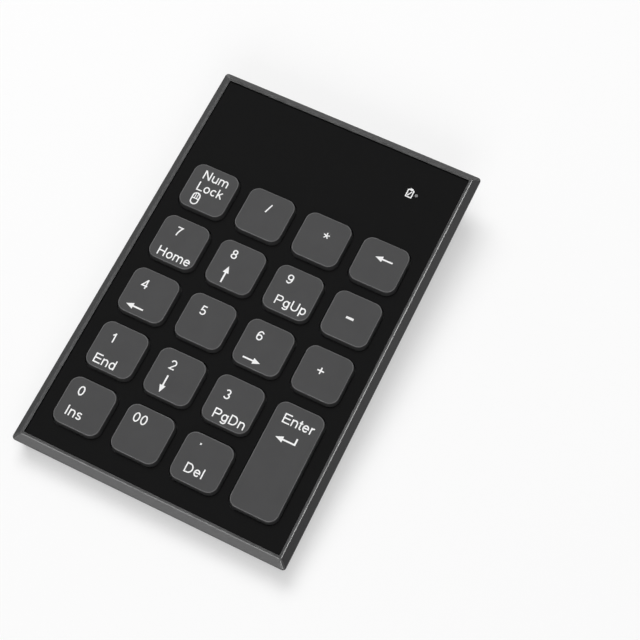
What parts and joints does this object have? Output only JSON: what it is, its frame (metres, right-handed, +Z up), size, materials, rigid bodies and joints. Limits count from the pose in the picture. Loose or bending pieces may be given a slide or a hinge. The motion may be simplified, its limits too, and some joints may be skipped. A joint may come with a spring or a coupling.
{
  "type": "numeric keypad",
  "caption": "Slim wireless numeric keypad with low square keys in a black panel and a sloping skirt; the keys press and spring back.",
  "frame": {"origin": "on the desk, under the middle of the keypad in plan", "axes": "+X to the right of the user, +Y away from the user towards the blank band, +Z up from the desk"},
  "size_m": [0.0876, 0.1328, 0.0172],
  "materials": {
    "frame_plastic": "fine moulded texture, satin",
    "panel_plastic": "smooth, low sheen",
    "key_plastic": "fine moulded texture",
    "dome_rubber": "soft, matt",
    "spring_wire": "drawn wire",
    "polyester_sheet": "clear film with printed tracks",
    "zinc_steel": "rolled sheet",
    "case_plastic": "moulded texture",
    "cell_jacket": "plain printed jacket",
    "contact_metal": "nickel plated",
    "lead_insulation": "smooth",
    "board_laminate": "solder mask",
    "chip_resin": "moulded",
    "inner_plastic": "moulded",
    "clear_plastic": "polished",
    "knob_plastic": "ridged",
    "screw_steel": "black zinc",
    "foot_rubber": "soft, matt"
  },
  "bodies": {
    "case": {"top_frame": "frame_plastic", "face_plate": "panel_plastic", "dome_num_lock": "dome_rubber", "dome_divide": "dome_rubber", "dome_multiply": "dome_rubber", "dome_backspace": "dome_rubber", "dome_7": "dome_rubber", "dome_8": "dome_rubber", "dome_9": "dome_rubber", "dome_minus": "dome_rubber", "dome_4": "dome_rubber", "dome_5": "dome_rubber", "dome_6": "dome_rubber", "dome_plus": "dome_rubber", "dome_1": "dome_rubber", "dome_2": "dome_rubber", "dome_3": "dome_rubber", "dome_enter": "dome_rubber", "dome_0": "dome_rubber", "dome_00": "dome_rubber", "dome_decimal": "dome_rubber", "membrane_top": "polyester_sheet", "membrane_spacer": "polyester_sheet", "membrane_bottom": "polyester_sheet", "support_plate": "zinc_steel", "bottom_case": "case_plastic", "battery": "cell_jacket", "battery_contact": "contact_metal", "battery_spring": "spring_wire", "battery_leads": "lead_insulation", "circuit_board": "board_laminate", "controller_chip": "chip_resin", "membrane_clamp": "inner_plastic", "indicator_led": "clear_plastic", "light_pipe": "clear_plastic", "switch_body": "inner_plastic", "screws": "screw_steel", "rubber_feet": "foot_rubber"},
    "num_lock_key": {"key_num_lock": "key_plastic"},
    "divide_key": {"key_divide": "key_plastic"},
    "multiply_key": {"key_multiply": "key_plastic"},
    "backspace_key": {"key_backspace": "key_plastic"},
    "7_key": {"key_7": "key_plastic"},
    "8_key": {"key_8": "key_plastic"},
    "9_key": {"key_9": "key_plastic"},
    "minus_key": {"key_minus": "key_plastic"},
    "4_key": {"key_4": "key_plastic"},
    "5_key": {"key_5": "key_plastic"},
    "6_key": {"key_6": "key_plastic"},
    "plus_key": {"key_plus": "key_plastic"},
    "1_key": {"key_1": "key_plastic"},
    "2_key": {"key_2": "key_plastic"},
    "3_key": {"key_3": "key_plastic"},
    "enter_key": {"key_enter": "key_plastic"},
    "0_key": {"key_0": "key_plastic"},
    "00_key": {"key_00": "key_plastic"},
    "decimal_key": {"key_decimal": "key_plastic"},
    "stabiliser": {"enter_stabiliser": "spring_wire"},
    "door": {"battery_door": "case_plastic"},
    "knob": {"switch_knob": "knob_plastic"}
  },
  "joints": [
    {"name": "press_num_lock", "type": "slide", "parent": "case", "child": "num_lock_key", "axis": [0, 0.0685, -0.9977], "range_m": [0, 0.0015], "stiffness_N_per_m": 300, "springref_m": -0.0005, "deforming": ["dome_num_lock"]},
    {"name": "press_divide", "type": "slide", "parent": "case", "child": "divide_key", "axis": [0, 0.0685, -0.9977], "range_m": [0, 0.0015], "stiffness_N_per_m": 300, "springref_m": -0.0005, "deforming": ["dome_divide"]},
    {"name": "press_multiply", "type": "slide", "parent": "case", "child": "multiply_key", "axis": [0, 0.0685, -0.9977], "range_m": [0, 0.0015], "stiffness_N_per_m": 300, "springref_m": -0.0005, "deforming": ["dome_multiply"]},
    {"name": "press_backspace", "type": "slide", "parent": "case", "child": "backspace_key", "axis": [0, 0.0685, -0.9977], "range_m": [0, 0.0015], "stiffness_N_per_m": 300, "springref_m": -0.0005, "deforming": ["dome_backspace"]},
    {"name": "press_7", "type": "slide", "parent": "case", "child": "7_key", "axis": [0, 0.0685, -0.9977], "range_m": [0, 0.0015], "stiffness_N_per_m": 300, "springref_m": -0.0005, "deforming": ["dome_7"]},
    {"name": "press_8", "type": "slide", "parent": "case", "child": "8_key", "axis": [0, 0.0685, -0.9977], "range_m": [0, 0.0015], "stiffness_N_per_m": 300, "springref_m": -0.0005, "deforming": ["dome_8"]},
    {"name": "press_9", "type": "slide", "parent": "case", "child": "9_key", "axis": [0, 0.0685, -0.9977], "range_m": [0, 0.0015], "stiffness_N_per_m": 300, "springref_m": -0.0005, "deforming": ["dome_9"]},
    {"name": "press_minus", "type": "slide", "parent": "case", "child": "minus_key", "axis": [0, 0.0685, -0.9977], "range_m": [0, 0.0015], "stiffness_N_per_m": 300, "springref_m": -0.0005, "deforming": ["dome_minus"]},
    {"name": "press_4", "type": "slide", "parent": "case", "child": "4_key", "axis": [0, 0.0685, -0.9977], "range_m": [0, 0.0015], "stiffness_N_per_m": 300, "springref_m": -0.0005, "deforming": ["dome_4"]},
    {"name": "press_5", "type": "slide", "parent": "case", "child": "5_key", "axis": [0, 0.0685, -0.9977], "range_m": [0, 0.0015], "stiffness_N_per_m": 300, "springref_m": -0.0005, "deforming": ["dome_5"]},
    {"name": "press_6", "type": "slide", "parent": "case", "child": "6_key", "axis": [0, 0.0685, -0.9977], "range_m": [0, 0.0015], "stiffness_N_per_m": 300, "springref_m": -0.0005, "deforming": ["dome_6"]},
    {"name": "press_plus", "type": "slide", "parent": "case", "child": "plus_key", "axis": [0, 0.0685, -0.9977], "range_m": [0, 0.0015], "stiffness_N_per_m": 300, "springref_m": -0.0005, "deforming": ["dome_plus"]},
    {"name": "press_1", "type": "slide", "parent": "case", "child": "1_key", "axis": [0, 0.0685, -0.9977], "range_m": [0, 0.0015], "stiffness_N_per_m": 300, "springref_m": -0.0005, "deforming": ["dome_1"]},
    {"name": "press_2", "type": "slide", "parent": "case", "child": "2_key", "axis": [0, 0.0685, -0.9977], "range_m": [0, 0.0015], "stiffness_N_per_m": 300, "springref_m": -0.0005, "deforming": ["dome_2"]},
    {"name": "press_3", "type": "slide", "parent": "case", "child": "3_key", "axis": [0, 0.0685, -0.9977], "range_m": [0, 0.0015], "stiffness_N_per_m": 300, "springref_m": -0.0005, "deforming": ["dome_3"]},
    {"name": "press_enter", "type": "slide", "parent": "case", "child": "enter_key", "axis": [0, 0.0685, -0.9977], "range_m": [0, 0.0015], "stiffness_N_per_m": 300, "springref_m": -0.0005, "deforming": ["dome_enter"]},
    {"name": "press_0", "type": "slide", "parent": "case", "child": "0_key", "axis": [0, 0.0685, -0.9977], "range_m": [0, 0.0015], "stiffness_N_per_m": 300, "springref_m": -0.0005, "deforming": ["dome_0"]},
    {"name": "press_00", "type": "slide", "parent": "case", "child": "00_key", "axis": [0, 0.0685, -0.9977], "range_m": [0, 0.0015], "stiffness_N_per_m": 300, "springref_m": -0.0005, "deforming": ["dome_00"]},
    {"name": "press_decimal", "type": "slide", "parent": "case", "child": "decimal_key", "axis": [0, 0.0685, -0.9977], "range_m": [0, 0.0015], "stiffness_N_per_m": 300, "springref_m": -0.0005, "deforming": ["dome_decimal"]},
    {"name": "turn_stabiliser", "type": "hinge", "parent": "case", "child": "stabiliser", "pos_m": [0.0337, -0.04013, 0.00817], "axis": [0, 0.9977, 0.0685], "range_deg": [-15.83, 0]},
    {"name": "slide_door", "type": "slide", "parent": "case", "child": "door", "axis": [0, 0.9977, 0.0685], "range_m": [0, 0.02]},
    {"name": "slide_switch", "type": "slide", "parent": "case", "child": "knob", "axis": [1, 0, 0], "range_m": [0, 0.002]}
  ],
  "couplings": [
    {"joint": "turn_stabiliser", "follows": "press_enter", "rad_per_m": -181.82}
  ]
}
